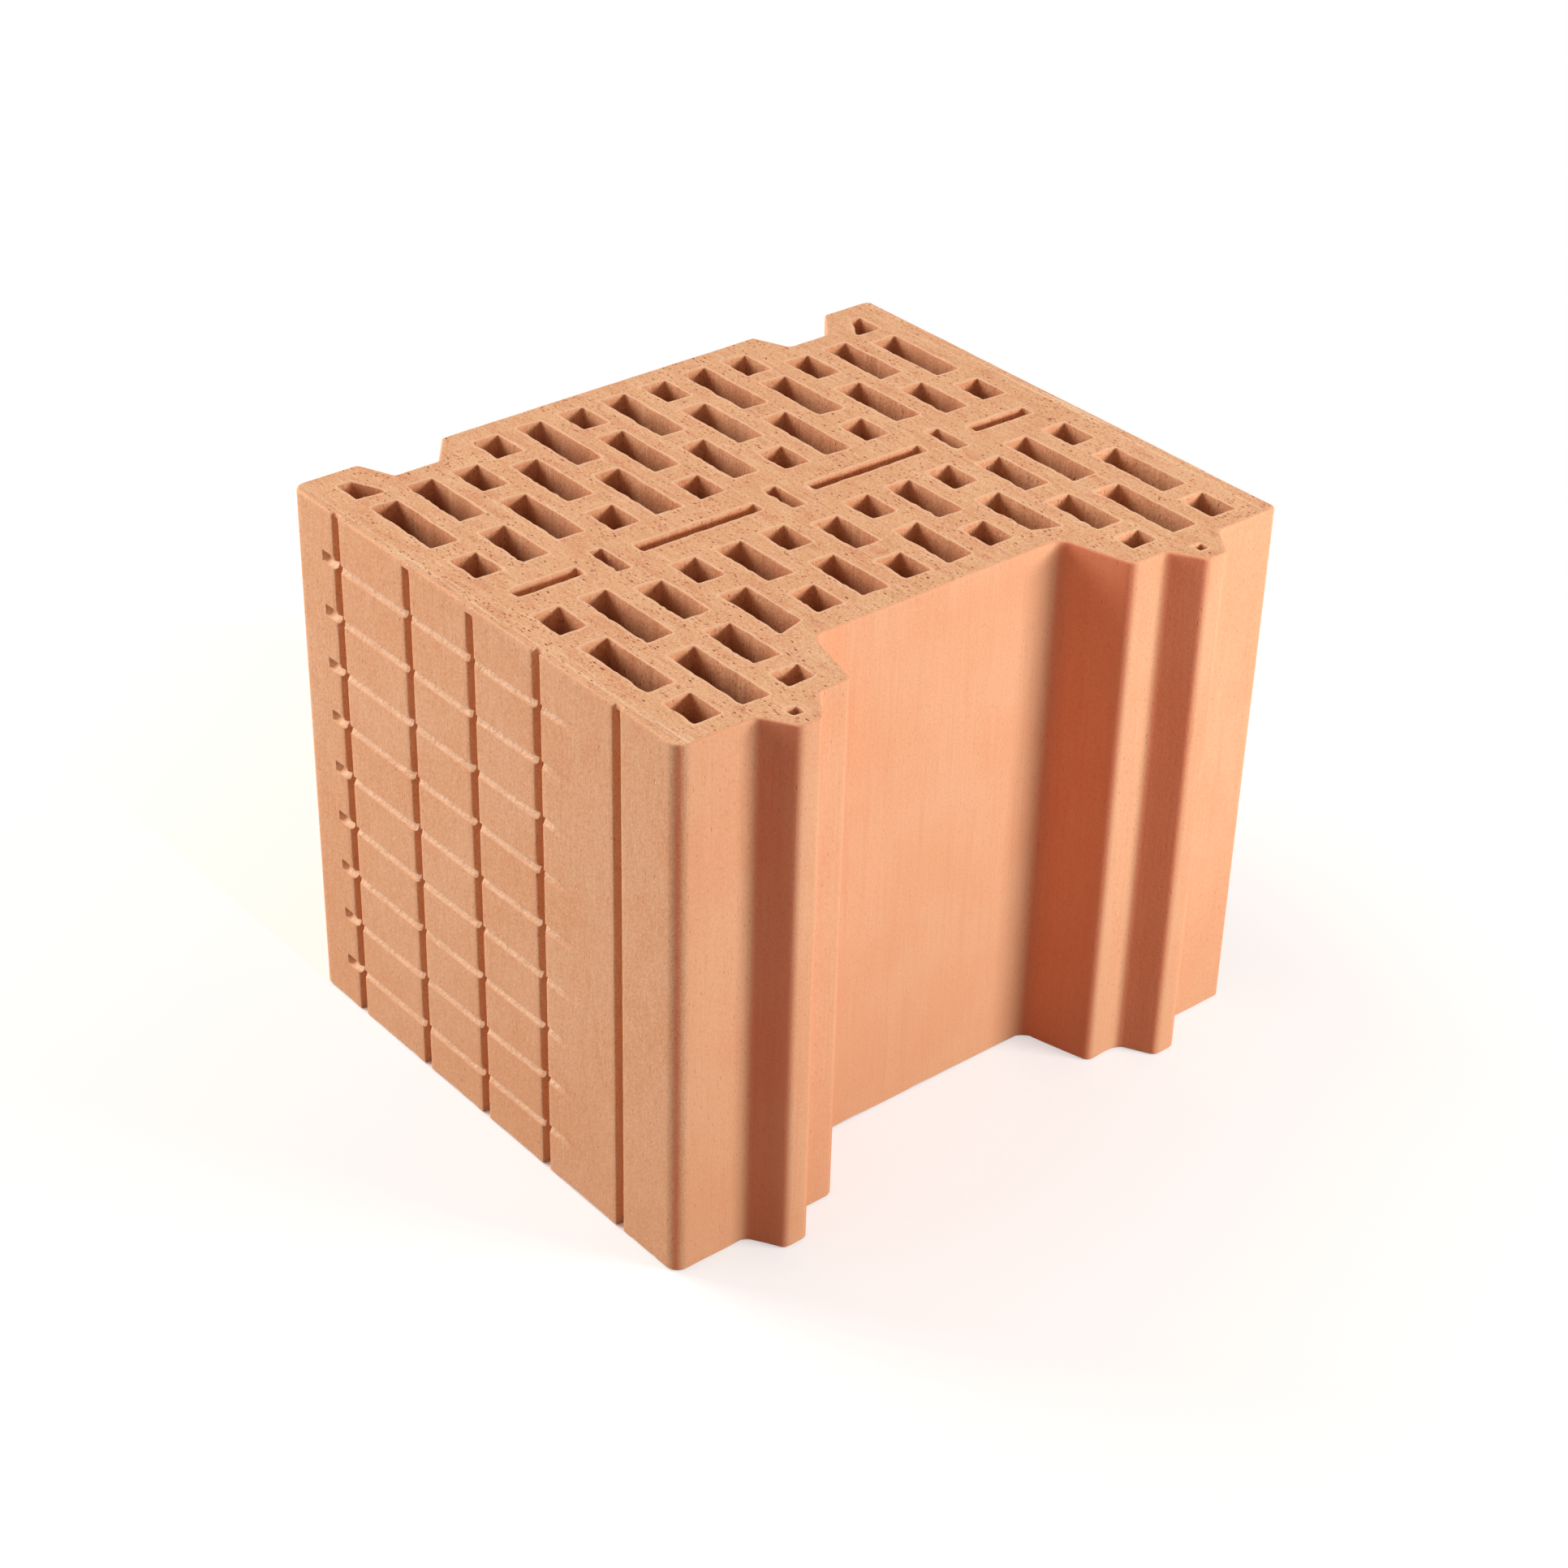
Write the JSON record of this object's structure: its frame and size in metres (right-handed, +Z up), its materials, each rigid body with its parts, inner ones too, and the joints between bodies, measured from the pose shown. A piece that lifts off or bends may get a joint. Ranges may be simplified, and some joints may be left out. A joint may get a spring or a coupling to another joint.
{
  "type": "hollow clay block",
  "caption": "Vertically perforated fired clay block for walls, with staggered rows of cells, tongue and groove ends, a deep end recess and a keyed plaster face.",
  "frame": {"origin": "middle of the block's box, tongues included, on the lower bed", "axes": "+X along the wall towards the tongues, +Y through the wall away from the keyed face, +Z up"},
  "size_m": [0.2624, 0.3, 0.238],
  "materials": {
    "fired_clay": "matt, as fired"
  },
  "bodies": {
    "root": {"clay_block": "fired_clay"}
  },
  "joints": []
}
